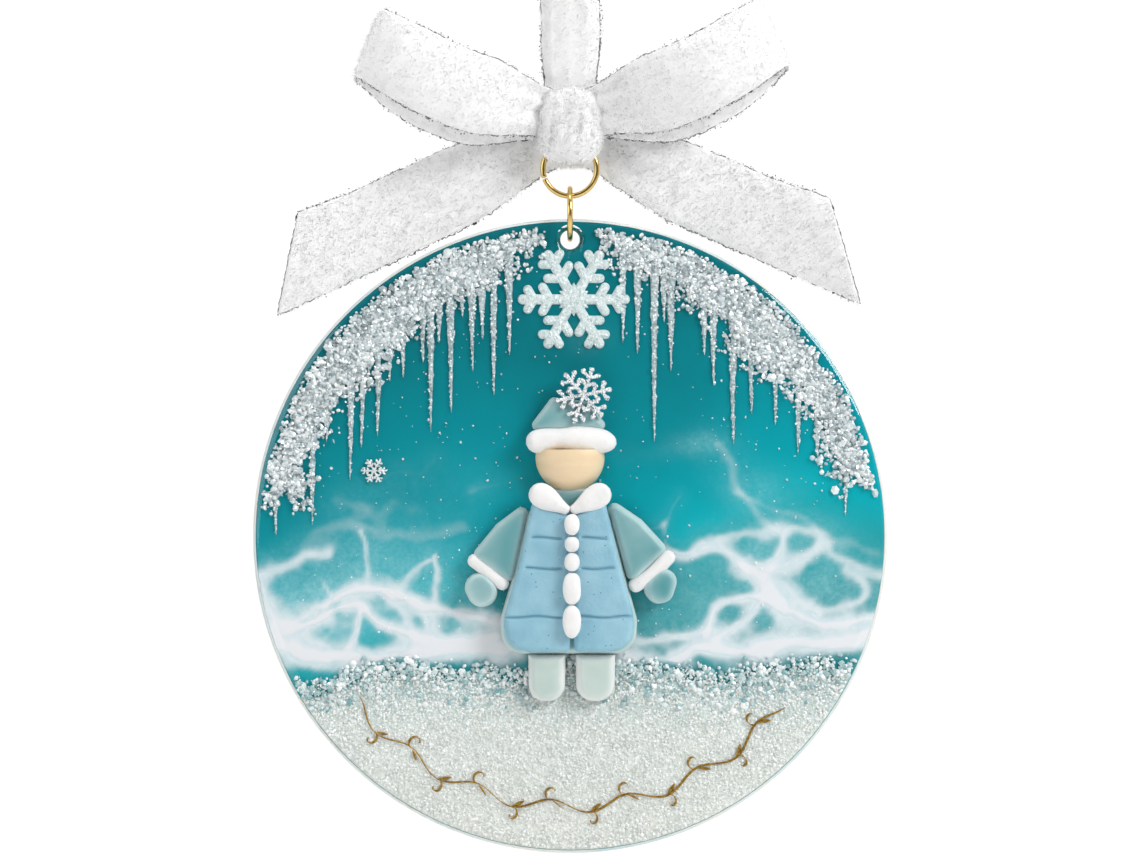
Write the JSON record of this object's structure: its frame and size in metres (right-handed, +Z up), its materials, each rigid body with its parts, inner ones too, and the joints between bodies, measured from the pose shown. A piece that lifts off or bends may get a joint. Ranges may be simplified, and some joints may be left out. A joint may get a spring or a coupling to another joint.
{
  "type": "souvenir christmas ornament",
  "caption": "Round cast-resin ornament with a winter beach scene and a sea-glass figure, hung by jump rings from a velvet ribbon bow with a loop",
  "frame": {"origin": "inside of the ribbon loop's top, where a hook or branch holds the ornament; the disc's centre is 140 mm below it", "axes": "X to the right of the face, +Y out of the back, +Z up"},
  "size_m": [0.1, 0.0172, 0.1912],
  "materials": {
    "clear_resin": "clear cast resin, polished",
    "ocean_resin": "teal tinted resin",
    "pearl_resin": "pearl white resin",
    "foam_pigment": "white resin pigment lacing",
    "sand_glitter": "white and silver glitter in resin",
    "frost_glitter": "chunky silver white glitter in resin",
    "white_glitter": "white glitter paper",
    "silver_glitter": "silver glitter",
    "gold_wire": "polished gold plate",
    "gold_paint": "gold paint",
    "sea_glass": "frosted, tumbled",
    "pale_sea_glass": "frosted, tumbled",
    "blue_clay": "baked modelling clay, matt",
    "white_clay": "baked modelling clay, matt",
    "peach_wood": "sanded and waxed",
    "white_velvet": "velvet ribbon with a metallic picot edge"
  },
  "bodies": {
    "hanger": {"hanger_loop": "white_velvet"},
    "bow": {"bow_knot": "white_velvet", "bow_loop_left": "white_velvet", "bow_loop_right": "white_velvet", "bow_tail_left": "white_velvet", "bow_tail_right": "white_velvet"},
    "upper_link": {"upper_jump_ring": "gold_wire"},
    "lower_link": {"lower_jump_ring": "gold_wire"},
    "disc": {"resin_casting": "clear_resin", "ocean_pour": "ocean_resin", "pearl_backing": "pearl_resin", "wave_foam": "foam_pigment", "sand_bank": "sand_glitter", "frost_left": "frost_glitter", "frost_right": "frost_glitter", "snowflake_large": "white_glitter", "snowflake_small": "white_glitter", "gold_scroll": "gold_paint", "coat_base_glass": "sea_glass", "coat_panel_left": "blue_clay", "coat_panel_right": "blue_clay", "button_1": "white_clay", "button_2": "white_clay", "button_3": "white_clay", "button_4": "white_clay", "button_5": "white_clay", "collar_left": "white_clay", "collar_right": "white_clay", "neck_glass": "sea_glass", "hat_brim": "white_clay", "head": "peach_wood", "hat_crown": "sea_glass", "hat_snowflake": "silver_glitter", "sleeve_left": "sea_glass", "sleeve_right": "sea_glass", "mitten_left": "sea_glass", "mitten_right": "sea_glass", "leg_left": "pale_sea_glass", "leg_right": "pale_sea_glass", "cuff_left": "white_clay", "cuff_right": "white_clay"}
  },
  "joints": [
    {"name": "ribbon_twist", "type": "hinge", "parent": "hanger", "child": "bow", "pos_m": [0, 0, -0.069], "axis": [0, 0, 1], "range_deg": [-90, 90]},
    {"name": "upper_ring_swing", "type": "hinge", "parent": "bow", "child": "upper_link", "pos_m": [0, 0, -0.07785], "axis": [1, 0, 0], "range_deg": [-15, 15]},
    {"name": "lower_ring_swing", "type": "hinge", "parent": "upper_link", "child": "lower_link", "pos_m": [0, 0, -0.08635], "axis": [1, 0, 0], "range_deg": [-20, 20]},
    {"name": "disc_turn", "type": "hinge", "parent": "lower_link", "child": "disc", "pos_m": [0, 0, -0.09315], "axis": [0, 0, 1], "range_deg": [-15, 15]}
  ]
}
